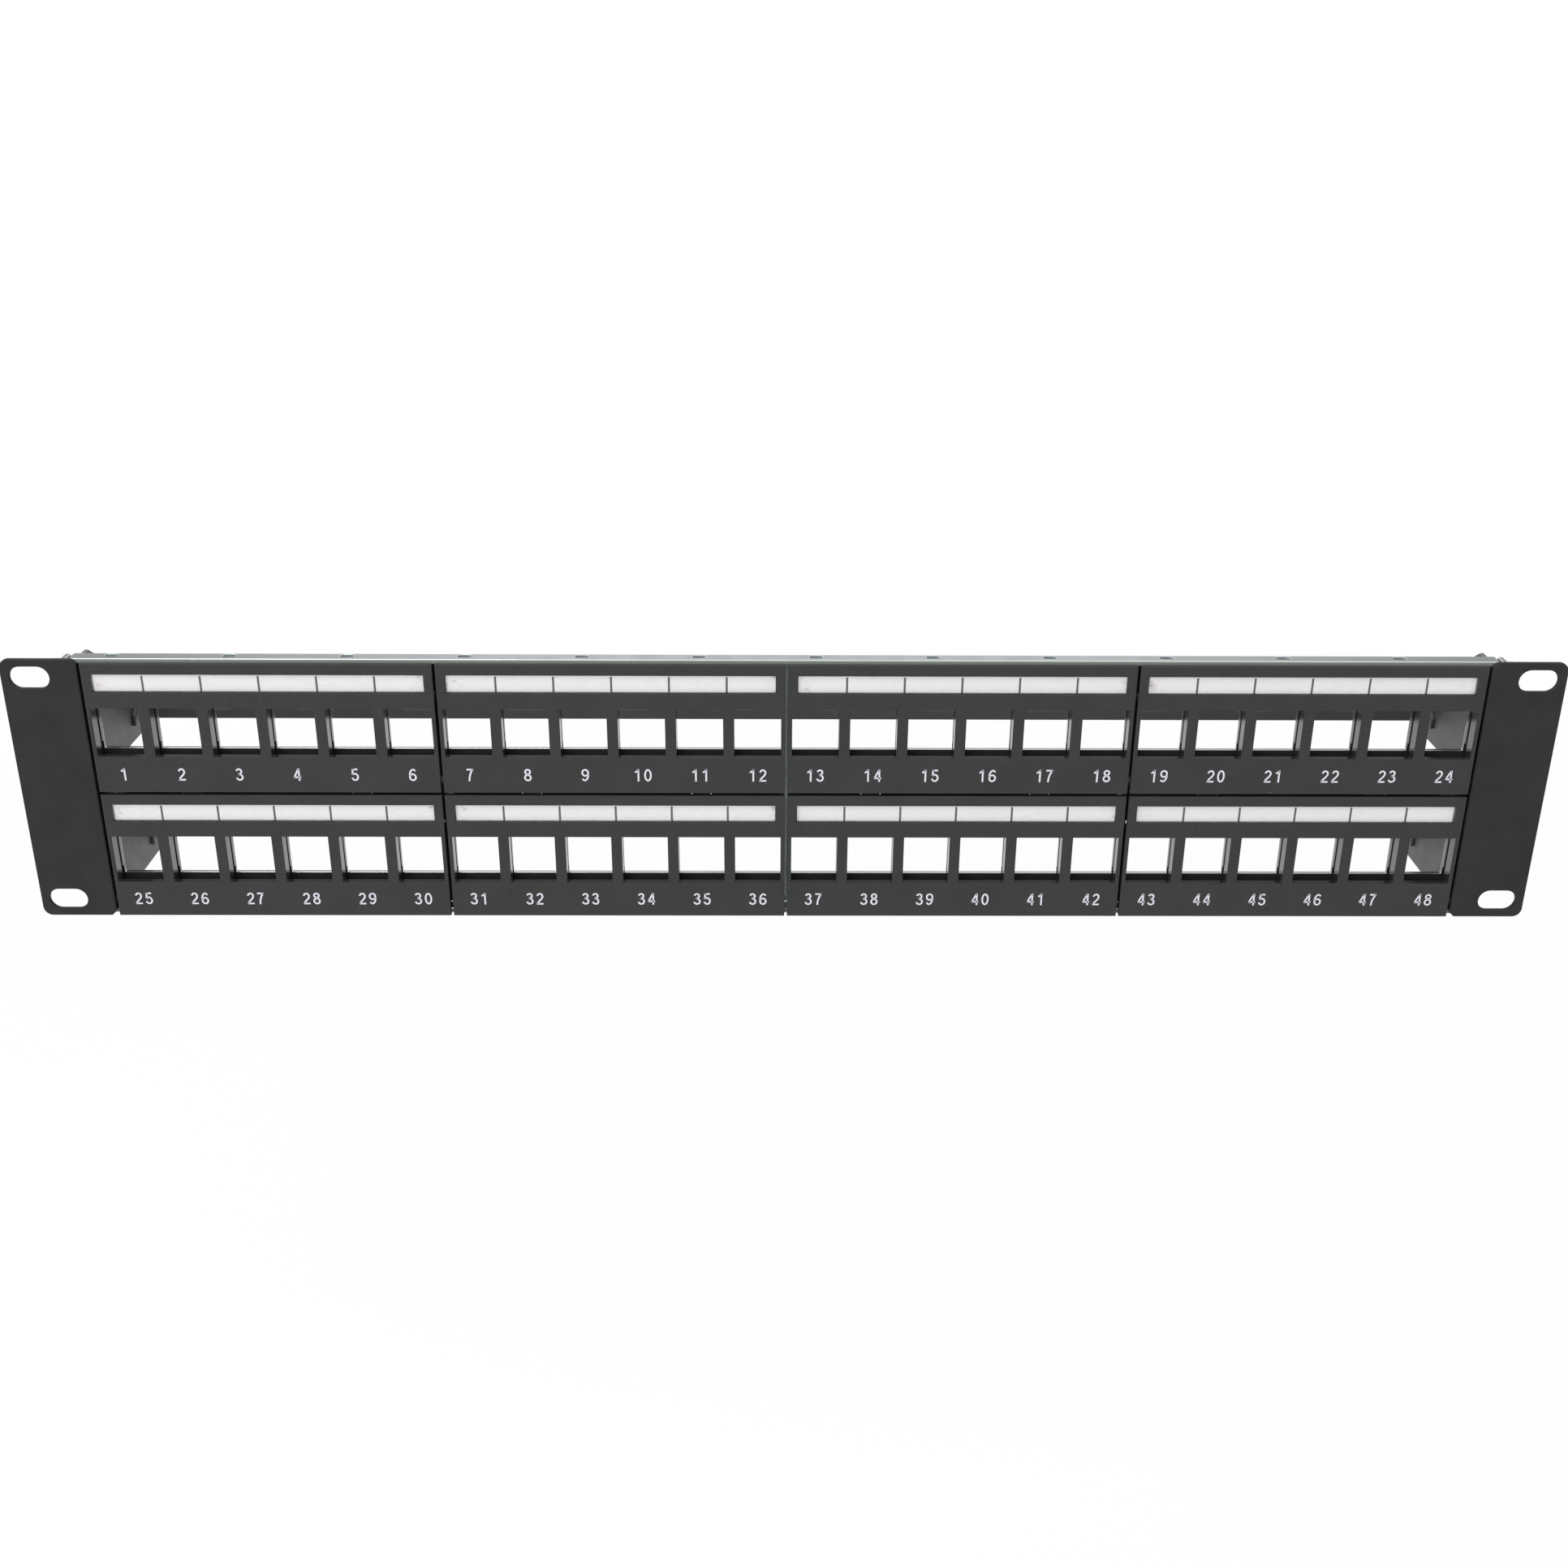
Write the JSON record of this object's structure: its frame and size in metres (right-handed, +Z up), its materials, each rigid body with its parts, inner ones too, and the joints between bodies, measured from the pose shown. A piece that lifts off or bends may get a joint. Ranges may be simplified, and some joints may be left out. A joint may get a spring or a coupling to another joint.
{
  "type": "keystone patch panel",
  "caption": "Two-unit 19 inch rack panel with two rows of empty keystone jack openings in snap-in bezels, label strips under clear covers, and cable bars behind.",
  "frame": {"origin": "middle of the four rack slots, on the rear face of the ears, which seats on the rack's rails", "axes": "+X to the right seen from the front, +Y to the rear, +Z up"},
  "size_m": [0.4826, 0.0524, 0.0882],
  "materials": {
    "zinc": "zinc-plated sheet steel, bluish satin",
    "ear_paint": "matt black powder coat",
    "bezel_plastic": "fine-textured charcoal",
    "paper": "white paper",
    "clear_plastic": "clear plastic",
    "bar_paint": "matt black powder coat",
    "fastener": "zinc-plated steel"
  },
  "bodies": {
    "panel": {"frame": "zinc", "ear_left": "ear_paint", "ear_right": "ear_paint", "bezel_1": "bezel_plastic", "bezel_2": "bezel_plastic", "bezel_3": "bezel_plastic", "bezel_4": "bezel_plastic", "bezel_5": "bezel_plastic", "bezel_6": "bezel_plastic", "bezel_7": "bezel_plastic", "bezel_8": "bezel_plastic", "label_1": "paper", "label_2": "paper", "label_3": "paper", "label_4": "paper", "label_5": "paper", "label_6": "paper", "label_7": "paper", "label_8": "paper", "arm_upper_left": "zinc", "arm_upper_right": "zinc", "arm_lower_left": "zinc", "arm_lower_right": "zinc", "cable_bar_upper": "bar_paint", "cable_bar_lower": "bar_paint", "ear_rivets": "fastener", "arm_rivets": "fastener", "bar_screws": "fastener"},
    "cover_1": {"label_cover_1": "clear_plastic"},
    "cover_2": {"label_cover_2": "clear_plastic"},
    "cover_3": {"label_cover_3": "clear_plastic"},
    "cover_4": {"label_cover_4": "clear_plastic"},
    "cover_5": {"label_cover_5": "clear_plastic"},
    "cover_6": {"label_cover_6": "clear_plastic"},
    "cover_7": {"label_cover_7": "clear_plastic"},
    "cover_8": {"label_cover_8": "clear_plastic"}
  },
  "joints": [
    {"name": "cover_1_pull", "type": "slide", "parent": "panel", "child": "cover_1", "axis": [0, -1, 0], "range_m": [0, 0.02]},
    {"name": "cover_2_pull", "type": "slide", "parent": "panel", "child": "cover_2", "axis": [0, -1, 0], "range_m": [0, 0.02]},
    {"name": "cover_3_pull", "type": "slide", "parent": "panel", "child": "cover_3", "axis": [0, -1, 0], "range_m": [0, 0.02]},
    {"name": "cover_4_pull", "type": "slide", "parent": "panel", "child": "cover_4", "axis": [0, -1, 0], "range_m": [0, 0.02]},
    {"name": "cover_5_pull", "type": "slide", "parent": "panel", "child": "cover_5", "axis": [0, -1, 0], "range_m": [0, 0.02]},
    {"name": "cover_6_pull", "type": "slide", "parent": "panel", "child": "cover_6", "axis": [0, -1, 0], "range_m": [0, 0.02]},
    {"name": "cover_7_pull", "type": "slide", "parent": "panel", "child": "cover_7", "axis": [0, -1, 0], "range_m": [0, 0.02]},
    {"name": "cover_8_pull", "type": "slide", "parent": "panel", "child": "cover_8", "axis": [0, -1, 0], "range_m": [0, 0.02]}
  ]
}
